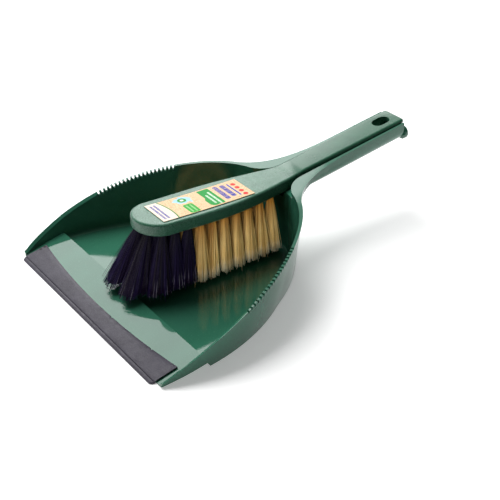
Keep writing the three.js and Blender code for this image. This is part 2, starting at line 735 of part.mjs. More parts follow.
// A bundle of bristles: round where it is set in the head, spread to an oval at the tips.
function tuftGeometry({ rootX, rootY, outX, outY, dark }) {
  const towardsToe = Math.max(-outY, 0);
  const flare = SIDE_FLARE + TOE_FLARE * towardsToe;
  const tipX = rootX + outX * flare;
  const tipY = rootY + outY * flare - FORWARD_LEAN * (LEAN_FROM_Y - rootY);
  const tipZ = TIP_HEIGHT + (dark ? DARK_TIP_RISE : 0) + TOE_TIP_RISE * towardsToe;
  const rootZ = brushBottom(rootY);
  const turn = outX === 0 && outY === 0 ? 0 : Math.atan2(outY, outX);
  const deep = TIP_DEEP;
  const wide = TIP_WIDE + TOE_TIP_EXTRA * towardsToe;
  const ring = (spread, z, shrink) => {
    const centre = new THREE.Vector3(lerp(rootX, tipX, spread), lerp(rootY, tipY, spread), z);
    const halfDeep = lerp(ROOT_RADIUS, deep, spread) * shrink;
    const halfWide = lerp(ROOT_RADIUS, wide, spread) * shrink;
    const points = [];
    for (let k = 0; k < TUFT_SIDES; k += 1) {
      const angle = (k / TUFT_SIDES) * 2 * Math.PI;
      const out = halfDeep * Math.cos(angle);
      const aside = halfWide * Math.sin(angle);
      const x = out * Math.cos(turn) - aside * Math.sin(turn);
      const y = out * Math.sin(turn) + aside * Math.cos(turn);
      points.push(new THREE.Vector3(x, y, 0).add(centre));
    }
    return points;
  };
  return ringLoft([
    ring(1, tipZ, TIP_DRAWN_IN),
    ring(WIDEST_SPREAD, tipZ + WIDEST_ABOVE_TIP, 1),
    ring(0.5, lerp(rootZ, tipZ, HALF_SPREAD_LEVEL), 1),
    ring(0, rootZ - BELOW_HEAD, 1),
    ring(0, rootZ + ROOT_DEPTH, 1),
  ]);
}

// ======== Assembly ========

const green = { color: 0x2d5f49, roughness: 0.32, metalness: 0 };
const materials = {
  pan: new THREE.MeshStandardMaterial({ ...green }),
  brush: new THREE.MeshStandardMaterial({ ...green, color: 0x3c7059, roughness: 0.55 }),
  lip: new THREE.MeshStandardMaterial({ color: 0x5d5a62, roughness: 0.6, metalness: 0 }),
  label: new THREE.MeshStandardMaterial({ color: 0xe8c8a0, roughness: 0.7, metalness: 0 }),
  dark: new THREE.MeshStandardMaterial({ color: 0x1a1620, roughness: 0.6, metalness: 0 }),
  pale: new THREE.MeshStandardMaterial({ color: 0xc9ac78, roughness: 0.7, metalness: 0 }),
};

const set = new THREE.Group();
set.name = 'dust_pan_and_brush';
const centreY = (FLANGE_TO - LIP_OVERHANG) / 2;

function addPart(name, geometry, material) {
  geometry.translate(0, -centreY, 0);
  const mesh = new THREE.Mesh(geometry, material.clone());
  mesh.name = name;
  set.add(mesh);
}

const tufts = allTufts();
addPart('pan_body', panBody(), materials.pan);
addPart('lip_strip', lipStrip(), materials.lip);
addPart('brush_body', brushBody(tufts), materials.brush);
addPart('label', label(), materials.label);
tufts.forEach((tuft, index) => {
  const shade = tuft.dark ? 'dark' : 'pale';
  const number = String(index + 1).padStart(2, '0');
  addPart(`tuft_${shade}_${number}`, tuftGeometry(tuft), materials[shade]);
});

export default set;
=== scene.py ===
"""Looks for the dust pan and hand brush: plastics, soft lip, printed label, bristles, light and camera.
The scene is in metres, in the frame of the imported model; MM turns millimetres into metres."""
import math
import random

import bpy
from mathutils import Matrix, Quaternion, Vector


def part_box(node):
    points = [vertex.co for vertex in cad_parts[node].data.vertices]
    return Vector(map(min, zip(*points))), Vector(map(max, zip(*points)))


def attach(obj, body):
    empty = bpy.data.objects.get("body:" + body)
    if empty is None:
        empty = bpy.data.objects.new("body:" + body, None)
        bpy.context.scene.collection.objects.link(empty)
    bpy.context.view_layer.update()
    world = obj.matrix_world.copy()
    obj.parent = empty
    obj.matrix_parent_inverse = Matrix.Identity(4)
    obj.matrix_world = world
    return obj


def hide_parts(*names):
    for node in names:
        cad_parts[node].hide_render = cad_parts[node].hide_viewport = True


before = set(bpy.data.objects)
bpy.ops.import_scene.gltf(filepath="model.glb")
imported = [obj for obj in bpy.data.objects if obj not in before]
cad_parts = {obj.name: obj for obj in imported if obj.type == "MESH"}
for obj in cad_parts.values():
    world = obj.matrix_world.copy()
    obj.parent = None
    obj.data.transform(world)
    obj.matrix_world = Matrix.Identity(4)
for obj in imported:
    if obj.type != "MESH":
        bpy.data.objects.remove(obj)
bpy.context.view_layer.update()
MM = 0.001

# ---- Camera, from the photograph's viewing angle
AIM = Vector((14.5, -11.0, 11.8)) * MM
AZIMUTH = 53.4
ELEVATION = 32.657
DISTANCE = 853.7 * MM
LENS = 73.44

# ---- Light, in metres: a softbox behind the set, a second one above it that no reflection shows,
# a third that reaches only the bristles, a dim studio and a slightly glowing floor
KEY_CENTRE = Vector((-0.97, 0.33, 0.79))
KEY_SIZE = (1.3, 0.44)
KEY_ROLL = 32
KEY_RADIANCE = 3.8
TOP_CENTRE = Vector((-0.60, -0.05, 1.05))
TOP_SIZE = (0.9, 0.7)
TOP_RADIANCE = 8.0
BRISTLE_FILL_CENTRE = Vector((0.65, -0.80, 0.50))
BRISTLE_FILL_SIZE = (0.6, 0.5)
BRISTLE_FILL_RADIANCE = 8.5
ROOM_BRIGHT_SIDE = (-0.85, 0.3, 0.43)
ROOM_DIM = 0.04
ROOM_BRIGHT = 0.6
ROOM_FADE = (0.25, 0.9)
FLOOR_GLOW = 0.32
FLOOR_HALF = 60.0

# ---- Finish of the CAD pieces: rounding of their edges, and which facets count as flat or as an edge
PAN_EDGE = 0.35 * MM
BRUSH_EDGE = 0.25 * MM
LABEL_EDGE = 0.03 * MM
WELD_DISTANCE = 0.002 * MM
FLAT_ANGLE = math.radians(0.3)
EDGE_ANGLE = math.radians(38)

# ---- Bristles: finish, mesh, and where a tuft's fibres start and end
BRISTLE_SEED = 5
BRISTLE_ROUGHNESS = (0.4, 0.52)
# BRISTLE_SHADOW is the brown multiply of painted shade for fibres with a low shade value
BRISTLE_SHADOW = (0.42, 0.30, 0.15, 1)
PALE_GLOSS = 0.5
DARK_GLOSS = 0.22
PALE_SPREAD = (1.0, 1.05)
DARK_SPREAD = (1.05, 1.7)
STRANDS = 300
STRAND_RADIUS = 0.2 * MM
STRAND_SIDES = 3
STRAND_STEPS = 8
STRAND_RING = (0.45, 1)
ROOT_HIDDEN = 3 * MM
ROOT_DEPTH = 7.2 * MM
RING_TOLERANCE = 0.05 * MM
TIP_RING_SHARE = 0.8
TIP_TAPER = 0.35
BRISTLE_CURVE = 0.9
SQUARE_POWER = 0.75

# ---- Bristles that differ: lengths and distances in millimetres, and shares of all the fibres
EDGE_LIFT = 0.7
LENGTH_SPREAD = (-0.5, 0.9)
TIP_SCATTER = 0.4
SWAY = (0.05, 0.3)
SWAY_HALF_WAVES = (2, 5)
SHADE_SPREAD = 0.2
STRAY_SHARE = 0.05
STRAY_SCATTER = 3.0
STRAY_DROP = (0.5, 2.5)
ODD_SHARE = 0.07

# ---- Locks, the clumps that a tuft's bristles gather in: angles in radians, lift in millimetres
LOCKS = 13
LOCK_WIDTH = 0.15
LOCK_TURN = 0.15
# LOCK_SHADE tops a lock's shade value; the lower the value, the more painted shade its fibres get
LOCK_SHADE = 0.75
LOCK_LIFT = 0.5

# ---- Core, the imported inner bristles: shares of the tuft's length and width
CORE_SIDES = 40
CORE_STEPS = 7
CORE_LENGTH = 0.95
CORE_WIDTH = (0.72, 0.86)
# CORE_SHADE stays low, so the core is painted dark: painted shade in the gaps between the bristles
CORE_SHADE = (0.0, 0.35)

# ---- Brush: where along the set the head's grain fades out
GRAIN_FADES_FROM = 18 * MM
GRAIN_FADES_TO = 48 * MM

# ---- Lip, in millimetres: across from its own middle, back from the mouth and up from the floor.
# MOUTH_Y is the mouth's place in the frame, and LIP_OFF_CENTRE is the lip's middle from the pan's
MOUTH_Y = -158.5
LIP_HALF = 102.0
LIP_OFF_CENTRE = -1.0
LIP_FRONT = -5.0
LIP_CORNER = 3.0
LIP_CORNER_STEPS = 8
LIP_GROOVE = -1.75
LIP_BACK_IN_MIDDLE = 11.4
LIP_BACK_AT_ENDS = 18.4
LIP_TOP = 2.5
LIP_UNDER = 1.3
RAMP_RISE = 7.5 / 38
LIP_COLUMNS = 120
LIP_NICKS = (20.0, 72.5)
NICK_HALF = 1.1
NICK_DEPTH = 0.9
NICK_SLOPE = 3
NICK_FLAT = 0.67
# Two near-black spots of painted shade at the lip's left end, standing for the shade in two small nicks
END_NICK_SHADE_SPOTS = ((-100.6, 11.9), (-100.6, 15.8))
END_NICK_SHADE_HALF = (1.5, 1.2)

# ---- Label print, in millimetres: the soft edge of each printed shape
PRINT_SOFT = 0.12


# ======== Node helpers ========

class Nodes:
    """A material's node tree, with short calls for the maths that the materials share."""

    def __init__(self, name):
        self.material = bpy.data.materials.new(name)
        self.material.use_nodes = True
        self.tree = self.material.node_tree
        self.shader = self.tree.nodes["Principled BSDF"]

    def new(self, kind, **settings):
        node = self.tree.nodes.new(kind)
        for key, value in settings.items():
            setattr(node, key, value)
        return node

    def put(self, socket, value):
        if isinstance(value, bpy.types.NodeSocket):
            self.tree.links.new(value, socket)
        else:
            socket.default_value = value

    def math(self, operation, a, b=0.0):
        node = self.new("ShaderNodeMath", operation=operation)
        self.put(node.inputs[0], a)
        self.put(node.inputs[1], b)
        return node.outputs[0]

    def mix(self, factor, a, b):
        node = self.new("ShaderNodeMix", data_type="RGBA")
        self.put(node.inputs["Factor"], factor)
        self.put(node.inputs[6], a)
        self.put(node.inputs[7], b)
        return node.outputs[2]

    def ramp(self, value, low, high, to_low=0.0, to_high=1.0):
        node = self.new("ShaderNodeMapRange", clamp=True)
        for socket, number in zip(node.inputs, (value, low, high, to_low, to_high)):
            self.put(socket, number)
        return node.outputs[0]

    def position(self):
        return self.new("ShaderNodeTexCoord").outputs["Object"]

    def noise(self, scale, detail, stretch=(1, 1, 1)):
        mapping = self.new("ShaderNodeMapping")
        self.put(mapping.inputs["Vector"], self.position())
        mapping.inputs["Scale"].default_value = stretch
        node = self.new("ShaderNodeTexNoise")
        self.put(node.inputs["Vector"], mapping.outputs[0])
        node.inputs["Scale"].default_value = scale
        node.inputs["Detail"].default_value = detail
        return node.outputs["Fac"]

    def spot(self, centre, half):
        """1 inside an upright oval prism round a place in the object's plan, 0 outside."""
        mapping = self.new("ShaderNodeMapping", vector_type="TEXTURE")
        self.put(mapping.inputs["Vector"], self.position())
        mapping.inputs["Location"].default_value = centre
        mapping.inputs["Scale"].default_value = (*half, 1)
        length = self.new("ShaderNodeVectorMath", operation="LENGTH")
        self.put(length.inputs[0], mapping.outputs[0])
        return self.ramp(length.outputs["Value"], 0.85, 1.1, 1.0, 0.0)

    def bump(self, height, distance, strength):
        node = self.new("ShaderNodeBump")
        node.inputs["Strength"].default_value = strength
        node.inputs["Distance"].default_value = distance
        self.put(node.inputs["Height"], height)
        self.put(self.shader.inputs["Normal"], node.outputs[0])

    def set(self, **values):
        """Sets or links the shader's inputs: `Base_Color` is the input called Base Color."""
        for key, value in values.items():
            self.put(self.shader.inputs[key.replace("_", " ").title()], value)


def linear(hex_colour):
    """Linear RGBA of an sRGB colour written as six hex digits."""
    channels = [int(hex_colour[i:i + 2], 16) / 255 for i in (0, 2, 4)]
    curve = [c / 12.92 if c <= 0.04045 else ((c + 0.055) / 1.055) ** 2.4 for c in channels]
    return (*curve, 1.0)


# ======== Materials ========

def pan_plastic():
    """Glossy moulded polypropylene with slow flow marks, faint smears and sparse fine specks."""
    n = Nodes("pan_plastic")
    flow = n.ramp(n.noise(28, 2, (1, 0.35, 1)), 0.35, 0.65)
    specks = n.ramp(n.noise(1300, 2), 0.62, 0.72)
    base = n.mix(flow, linear("2f6550"), linear("356f59"))
    n.set(Base_Color=n.mix(n.math("MULTIPLY", specks, 0.35), base, linear("559278")))
    n.set(Roughness=n.ramp(n.noise(60, 4), 0.3, 0.75, 0.03, 0.10))
    n.bump(n.noise(900, 2), 0.01 * MM, 0.5)
    n.shader.inputs["IOR"].default_value = 1.5
    return n.material


def brush_plastic():
    """The same plastic. The head is moulded against a grained tool: satin, with fine pale speckle.
    Towards the handle the grain fades into a smoother satin."""
    n = Nodes("brush_plastic")
    split = n.new("ShaderNodeSeparateXYZ")
    n.put(split.inputs[0], n.position())
    grained = n.ramp(split.outputs["Y"], GRAIN_FADES_FROM, GRAIN_FADES_TO, 1.0, 0.0)
    speckle = n.math("MULTIPLY", n.ramp(n.noise(1400, 3), 0.42, 0.66), grained)
    cloud = n.ramp(n.noise(90, 3), 0.35, 0.7)
    base = n.mix(cloud, linear("2c5d48"), linear("33674f"))
    n.set(Base_Color=n.mix(n.math("MULTIPLY", speckle, 0.42), base, linear("7fae97")))
    satin = n.ramp(n.noise(500, 3), 0.3, 0.7, 0.26, 0.40)
    smooth = n.ramp(n.noise(70, 4), 0.3, 0.7, 0.22, 0.28)
    n.set(Roughness=n.math("ADD", n.math("MULTIPLY", satin, grained),
                           n.math("MULTIPLY", smooth, n.math("SUBTRACT", 1.0, grained))))
    n.bump(n.math("MULTIPLY", n.noise(1500, 2), grained), 0.05 * MM, 0.6)
    n.shader.inputs["IOR"].default_value = 1.55
    return n.material


def lip_rubber():
    """Matte grey-purple thermoplastic rubber, a little mottled, with two near-black spots of painted shade
    at one end, where two small nicks fall dark.
    """
    n = Nodes("lip_rubber")
    blotches = n.ramp(n.noise(55, 4), 0.35, 0.68)
    grain = n.ramp(n.noise(1500, 2), 0.4, 0.65)
    base = n.mix(blotches, linear("34313b"), linear("3f3c47"))
    colour = n.mix(n.math("MULTIPLY", grain, 0.25), base, linear("6d6a76"))
    # Painted shade: two near-black spots where two small nicks in the lip's end fall dark
    for x, y in END_NICK_SHADE_SPOTS:
        centre = Vector((x + LIP_OFF_CENTRE, y + MOUTH_Y, 0)) * MM
        nick_shade = n.spot(centre, [half * MM for half in END_NICK_SHADE_HALF])
        colour = n.mix(nick_shade, colour, linear("08070a"))
    n.set(Base_Color=colour)
    n.set(Roughness=n.ramp(n.noise(300, 3), 0.3, 0.7, 0.40, 0.55))
    n.bump(n.noise(1200, 3), 0.03 * MM, 0.5)
    return n.material


def bristle(name, root, middle, tip, odd, gloss):
    """Fibres whose colour runs from root to tip and differs from one to the next: a brown multiply of
    painted shade darkens fibres with a low shade value, standing in for shadow between clumps and deep in
    the tuft.
    A few odd ones have frayed tips of another colour; on the dark fibres these pale grey tips are partly
    frayed ends and partly painted highlights."""
    n = Nodes(name)
    along = n.new("ShaderNodeAttribute", attribute_name="along").outputs["Fac"]
    shade = n.new("ShaderNodeAttribute", attribute_name="shade").outputs["Fac"]
    # Partly painted shade: the root end is darker than the middle, partly the fibres' own tone and partly
    # shade under the head
    lower = n.mix(n.ramp(along, 0.05, 0.5), root, middle)
    colour = n.mix(n.ramp(along, 0.78, 1.0), lower, tip)
    # Painted shade: fibres with a low shade value are multiplied towards brown, as shadow between clumps
    # and inside the tuft
    painted_shade_colour = n.mix(1.0, colour, BRISTLE_SHADOW)
    painted_shade_colour.node.blend_type = "MULTIPLY"
    colour_with_painted_shade = n.mix(n.ramp(shade, 0.05, 0.7, 1.0, 0.0), colour, painted_shade_colour)
    frayed_and_glint_tips = n.math("MULTIPLY", n.ramp(shade, 0.96, 0.98), n.ramp(along, 0.7, 0.98))
    n.set(Base_Color=n.mix(frayed_and_glint_tips, colour_with_painted_shade, odd))
    n.set(Roughness=n.ramp(shade, 0, 1, *BRISTLE_ROUGHNESS))
    n.shader.inputs["Specular IOR Level"].default_value = gloss
    return n.material


class LabelPrint(Nodes):
    """Draws flat printed shapes; `u` and `v` are millimetres from the label's toe-end left corner."""

    def __init__(self, name, corner):
        super().__init__(name)
        mapping = self.new("ShaderNodeMapping", vector_type="TEXTURE")
        self.put(mapping.inputs["Vector"], self.position())
        mapping.inputs["Location"].default_value = (corner.x, corner.y, 0)
        mapping.inputs["Scale"].default_value = (MM, MM, 1)
        self.place = mapping.outputs[0]
        split = self.new("ShaderNodeSeparateXYZ")
        self.put(split.inputs[0], self.place)
        self.u, self.v = split.outputs[0], split.outputs[1]
        self.ink = None

    def vector(self, operation, a, b=(0, 0, 0)):
        node = self.new("ShaderNodeVectorMath", operation=operation)
        self.put(node.inputs[0], a)
        self.put(node.inputs[1], b)
        return node

    def rounded(self, centre, half, corner):
        """1 inside a rounded rectangle, 0 outside."""
        away = self.vector("SUBTRACT", self.place, (*centre, 0)).outputs[0]
        flat = self.vector("MULTIPLY", away, (1, 1, 0)).outputs[0]
        folded = self.vector("ABSOLUTE", flat).outputs[0]
        over = self.vector("SUBTRACT", folded, (half[0] - corner, half[1] - corner, 0)).outputs[0]
        clipped = self.vector("MAXIMUM", over, (0, 0, 0)).outputs[0]
        distance = self.vector("LENGTH", clipped).outputs["Value"]
        return self.ramp(distance, corner - PRINT_SOFT, corner + PRINT_SOFT, 1.0, 0.0)

    def words(self, seed, pitch):
        """1 where a row of word-like dashes has ink, 0 in the gaps."""
        along = self.math("ADD", self.math("DIVIDE", self.u, pitch), seed)
        node = self.new("ShaderNodeTexNoise", noise_dimensions="1D")
        self.put(node.inputs["W"], along)
        node.inputs["Detail"].default_value = 1.0
        return self.ramp(node.outputs["Fac"], 0.40, 0.44)

    def paint(self, mask, colour):
        self.ink = self.mix(mask, self.ink, colour)


def label_print():
    """Kraft card with a cream foot, a thin green arc, a splash with a round mark, a green tab,
    a wide green banner, rows of blue dashes and a row of red dots. All shapes are generic."""
    low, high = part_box("label")
    n = LabelPrint("label_card", Vector(low))
    wide = (high[0] - low[0]) / MM
    kraft = n.mix(n.ramp(n.noise(1100, 4), 0.36, 0.62), linear("e0b083"), linear("f7dab2"))
    fibres = n.ramp(n.noise(700, 3, (1, 0.25, 1)), 0.63, 0.70)
    n.ink = n.mix(n.math("MULTIPLY", fibres, 0.5), kraft, linear("b98a5c"))

    bow = n.math("MULTIPLY", n.math("SUBTRACT", wide, n.u), n.math("MULTIPLY", n.u, 0.0105))
    arc = n.math("SUBTRACT", n.math("SUBTRACT", n.v, bow), n.math("MULTIPLY", n.u, 0.10))
    n.paint(n.ramp(arc, 10.3, 10.6, 1.0, 0.0), linear("fdebd6"))
    line = n.math("ABSOLUTE", n.math("SUBTRACT", arc, 10.9))
    n.paint(n.ramp(line, 0.45, 0.65, 1.0, 0.0), linear("1d8a44"))
    for row, height in enumerate((3.6, 6.9)):
        bar = n.rounded((wide / 2, height), (wide / 2 - 2.5, 1.0), 0.8)
        n.paint(n.math("MULTIPLY", bar, n.words(3.0 * row, 1.1)), linear("3b4fa8"))

    ripple = n.math("MULTIPLY", n.math("SUBTRACT", n.noise(260, 2), 0.5), 9.0)
    middle = n.vector("SUBTRACT", n.place, (7.2, 31.5, 0)).outputs[0]
    level = n.vector("MULTIPLY", middle, (1, 0.72, 0)).outputs[0]
    radius = n.math("ADD", n.vector("LENGTH", level).outputs["Value"], ripple)
    n.paint(n.ramp(radius, 5.3, 5.9, 1.0, 0.0), linear("a9daf0"))
    n.paint(n.rounded((7.0, 30.5), (3.2, 3.8), 3.2), linear("3f9b3a"))
    n.paint(n.rounded((7.0, 30.5), (1.3, 1.6), 1.3), linear("eef6e6"))
    n.paint(n.rounded((21.5, 30.5), (7.2, 4.6), 2.2), linear("35a93a"))
    for row, height in enumerate((28.7, 32.2)):
        bar = n.rounded((21.5, height), (5.6, 0.7), 0.6)
        n.paint(n.math("MULTIPLY", bar, n.words(9.0 + 4 * row, 0.9)), linear("a6dc9c"))

    n.paint(n.rounded((wide / 2, 53.5), (wide / 2 - 1.2, 5.6), 1.2), linear("1f9a3f"))
    n.paint(n.rounded((21.0, 50.5), (7.0, 4.4), 4.2), linear("1f9a3f"))
    for row, (across, height) in enumerate(((17.0, 55.6), (17.5, 51.6))):
        bar = n.rounded((across, height), (10.5 - 3 * row, 0.95), 0.8)
        n.paint(n.math("MULTIPLY", bar, n.words(17.0 + 5 * row, 1.6)), linear("dff3dc"))

    for row, height in enumerate((64.6, 71.0)):
        bar = n.rounded((wide / 2 - 1.0, height), (11.5 - row, 2.1), 1.6)
        n.paint(n.math("MULTIPLY", bar, n.words(31.0 + 6 * row, 1.9)), linear("2a3fa6"))
    n.paint(n.rounded((wide / 2, 76.2), (10.5, 0.7), 0.7), linear("2747b5"))
    for k in range(4):
        n.paint(n.rounded((7.0 + 6.0 * k, 80.6), (2.1, 2.1), 2.1), linear("e0332f"))

    n.set(Base_Color=n.ink)
    n.set(Roughness=n.ramp(n.noise(400, 3), 0.3, 0.7, 0.42, 0.58))
    n.shader.inputs["Specular IOR Level"].default_value = 0.22
    n.bump(n.noise(1600, 3), 0.02 * MM, 0.5)
    return n.material


# ======== Camera, light and floor ========

def make_camera():
    """Stands at DISTANCE from the aim point, at the photograph's azimuth and elevation."""
    azimuth = math.radians(AZIMUTH)
    elevation = math.radians(ELEVATION)
    back = Vector((math.sin(azimuth) * math.cos(elevation),
                   -math.cos(azimuth) * math.cos(elevation),
                   math.sin(elevation)))
    data = bpy.data.cameras.new("camera")
    data.lens = LENS
    camera = bpy.data.objects.new("camera", data)
    camera.location = AIM + back * DISTANCE
    camera.rotation_euler = (-back).to_track_quat("-Z", "Y").to_euler()
    bpy.context.scene.collection.objects.link(camera)
    bpy.context.scene.camera = camera


def make_floor():
    """A wide white floor that is staging, not part of the object."""
    mesh = bpy.data.meshes.new("floor")
    corners = [Vector((x, y, 0)) * FLOOR_HALF for x, y in ((-1, -1), (1, -1), (1, 1), (-1, 1))]
    mesh.from_pydata(corners, [], [(0, 1, 2, 3)])
    floor = bpy.data.objects.new("floor", mesh)
    n = Nodes("floor")
    n.set(Base_Color=(0.92, 0.92, 0.92, 1), Roughness=0.9)
    n.shader.inputs["Specular IOR Level"].default_value = 0.1
    n.shader.inputs["Emission Color"].default_value = (1, 1, 1, 1)
    n.shader.inputs["Emission Strength"].default_value = FLOOR_GLOW
    mesh.materials.append(n.material)
    bpy.context.scene.collection.objects.link(floor)


def make_world():
    """A studio that is brighter above and behind the set than on the viewer's side.
    Its backdrop shows plain white."""
    world = bpy.data.worlds.new("studio")
    bpy.context.scene.world = world
    world.use_nodes = True
    tree = world.node_tree
    background = tree.nodes["Background"]
    background.inputs["Color"].default_value = (1.0, 1.0, 1.0, 1.0)
    coordinates = tree.nodes.new("ShaderNodeTexCoord")
    facing = tree.nodes.new("ShaderNodeVectorMath")
    facing.operation = "DOT_PRODUCT"
    facing.inputs[1].default_value = Vector(ROOM_BRIGHT_SIDE).normalized()
    strength = tree.nodes.new("ShaderNodeMapRange")
    strength.interpolation_type = "SMOOTHSTEP"
    strength.inputs["From Min"].default_value = ROOM_FADE[0]
    strength.inputs["From Max"].default_value = ROOM_FADE[1]
    strength.inputs["To Min"].default_value = ROOM_DIM
    strength.inputs["To Max"].default_value = ROOM_BRIGHT
    tree.links.new(coordinates.outputs["Generated"], facing.inputs[0])
    tree.links.new(facing.outputs["Value"], strength.inputs["Value"])
    seen = tree.nodes.new("ShaderNodeLightPath").outputs["Is Camera Ray"]
    shown = tree.nodes.new("ShaderNodeMath")
    shown.operation = "MAXIMUM"
    tree.links.new(seen, shown.inputs[0])
    tree.links.new(strength.outputs[0], shown.inputs[1])
    tree.links.new(shown.outputs[0], background.inputs["Strength"])


def make_softbox(name, centre, size, radiance, roll=0):
    """A rectangular soft light that faces the set, with its long side level before the roll."""
    data = bpy.data.lights.new(name, "AREA")
    data.shape = "RECTANGLE"
    data.size, data.size_y = size
    data.energy = radiance * math.pi * size[0] * size[1]
    lamp = bpy.data.objects.new(name, data)
    lamp.location = centre
    facing = (centre - AIM).to_track_quat("Z", "Y")
    lamp.rotation_euler = (facing @ Quaternion((0, 0, 1), math.radians(roll))).to_euler()
    bpy.context.scene.collection.objects.link(lamp)
    return lamp


def light_only(lamp, pieces):
    """Keeps a lamp's light off everything but the pieces."""
    lit = bpy.data.collections.new(lamp.name + "_lit")
    for piece in pieces:
        lit.objects.link(piece)
    lamp.light_linking.receiver_collection = lit


# ======== Mesh helpers ========

def add_object(name, vertices, faces, material):
    """Adds a smooth-shaded mesh made from its vertices and faces."""
    mesh = bpy.data.meshes.new(name)
    mesh.from_pydata(vertices, [], faces)
    mesh.materials.append(material)
    mesh.shade_smooth()
    thing = bpy.data.objects.new(name, mesh)
    bpy.context.scene.collection.objects.link(thing)
    return thing


def refinish(node, material, edge):
    """Gives a CAD node its finish, softened edges and smooth shading over its curves."""
    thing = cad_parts[node]
    thing.data.materials.clear()
    thing.data.materials.append(material)
    merge = thing.modifiers.new("merge", "WELD")
    merge.merge_threshold = WELD_DISTANCE
    flat = thing.modifiers.new("flat", "DECIMATE")
    flat.decimate_type = "DISSOLVE"
    flat.angle_limit = FLAT_ANGLE
    bevel = thing.modifiers.new("edges", "BEVEL")
    bevel.width = edge
    bevel.segments = 2
    bevel.limit_method = "ANGLE"
    bevel.angle_limit = EDGE_ANGLE
    bevel.harden_normals = True
    thing.data.shade_smooth()
    normals = thing.modifiers.new("normals", "WEIGHTED_NORMAL")
    normals.keep_sharp = True


# ======== Lip ========

def lip_back(x):
    """How far the lip reaches back up the ramp at `x`: a shallow arc, longest at the ends."""
    sag = LIP_BACK_AT_ENDS - LIP_BACK_IN_MIDDLE
    radius = (LIP_HALF ** 2 + sag ** 2) / (2 * sag)
    reach = LIP_BACK_IN_MIDDLE + radius - math.sqrt(radius ** 2 - x ** 2)
    nick = max(1 - abs(x - place) / NICK_HALF for place in LIP_NICKS)
    return reach - NICK_DEPTH * min(max(nick * NICK_SLOPE, 0), 1)


def lip_front(x):
    """How far the thin blade reaches forward at `x`, with rounded corners."""
    into_corner = max(abs(x) - (LIP_HALF - LIP_CORNER), 0)
    return LIP_FRONT + LIP_CORNER - math.sqrt(LIP_CORNER ** 2 - into_corner ** 2)


def lip_section(x):
    """The lip's closed section at `x` as (y, z): blade, groove, main strip, underside."""
    front = lip_front(x)
    back = lip_back(x)

    def blade(share, z):
        return (LIP_GROOVE - 0.15 + (front - LIP_GROOVE + 0.15) * share, z)

    top = [(y, LIP_TOP + RAMP_RISE * y) for y in (0.0, back * 0.33, back * 0.66, back - 0.35)]
    return [
        blade(0.75, 0.0), blade(0.97, 0.35), blade(1.0, 0.6), blade(0.88, 0.9), blade(0.5, 1.3),
        blade(0.12, 1.7), blade(0.0, 1.62), (LIP_GROOVE, 1.25), (LIP_GROOVE + 0.15, 1.85),
        (LIP_GROOVE + 0.35, 2.02), (LIP_GROOVE + 0.9, 2.2), *top,
        (back - 0.05, LIP_TOP + RAMP_RISE * back - 0.22),
        (back, LIP_UNDER + RAMP_RISE * back + 0.3),
        (back, LIP_UNDER + RAMP_RISE * back),
        (-0.3, LIP_UNDER), (-0.3, 0.0),
    ]


def lip_stations():
    """Places across the lip, closer together at its corners and at the nicks."""
    places = {-LIP_HALF + 2 * LIP_HALF * k / LIP_COLUMNS for k in range(LIP_COLUMNS + 1)}
    for k in range(1, LIP_CORNER_STEPS):
        near_end = LIP_HALF - LIP_CORNER * (1 - math.sin(k / LIP_CORNER_STEPS * math.pi / 2))
        places.update((near_end, -near_end))
    for nick in LIP_NICKS:
        places.update(nick + NICK_HALF * share for share in (-1, -NICK_FLAT, NICK_FLAT, 1))
    return sorted(places)


def make_lip(material):
    """Joins the sections across the mouth into one closed strip, in place of the plain CAD lip."""
    stations = lip_stations()
    rows = [lip_section(x) for x in stations]
    vertices = []
    for x, row in zip(stations, rows):
        vertices += [Vector((x + LIP_OFF_CENTRE, y + MOUTH_Y, z)) * MM for y, z in row]
    count = len(rows[0])
    faces = [tuple(range(count)), tuple(range((len(rows) - 1) * count, len(rows) * count))[::-1]]
    for i in range(len(rows) - 1):
        for k in range(count):
            a, b = i * count + k, i * count + (k + 1) % count
            faces.append((a, a + count, b + count, b))
    lip = add_object("soft_lip", vertices, faces, material)
    lip.data.set_sharp_from_angle(angle=math.radians(45))
    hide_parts("lip_strip")
    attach(lip, "pan")


# ======== Bristles ========

class Tuft:
    """Where a bundle's bristles start and end, read from the CAD solid that holds its place."""

    def __init__(self, node):
        points = [v.co.copy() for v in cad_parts[node].data.vertices]
        self.root, root_ring = self.ring(points, max(p.z for p in points))
        self.tip, tip_ring = self.ring(points, min(p.z for p in points))
        reach = [p - self.tip for p in tip_ring]
        self.long_axis = max(reach, key=lambda v: v.length)
        self.short_axis = Vector((-self.long_axis.y, self.long_axis.x, 0)).normalized()
        self.long_half = self.long_axis.length / TIP_RING_SHARE
        self.short_half = max(abs(v.dot(self.short_axis)) for v in reach) / TIP_RING_SHARE
        self.long_axis.normalize()
        self.root_radius = max((p - self.root).length for p in root_ring)
        self.root.z -= ROOT_DEPTH

    @staticmethod
    def ring(points, height):
        """Centre of the ring of points at that height, and the ring."""
        ring = [p for p in points if abs(p.z - height) < RING_TOLERANCE]
        return sum(ring, Vector()) / len(ring), ring

    def start(self, out, aside):
        """Where a bristle leaves its hole, for shares along the tuft's long and short axes."""
        return self.root + (self.long_axis * out + self.short_axis * aside) * self.root_radius

    def end(self, out, aside):
        """Where a bristle ends, for the same two shares."""
        across = self.long_axis * (out * self.long_half)
        return self.tip + across + self.short_axis * (aside * self.short_half)


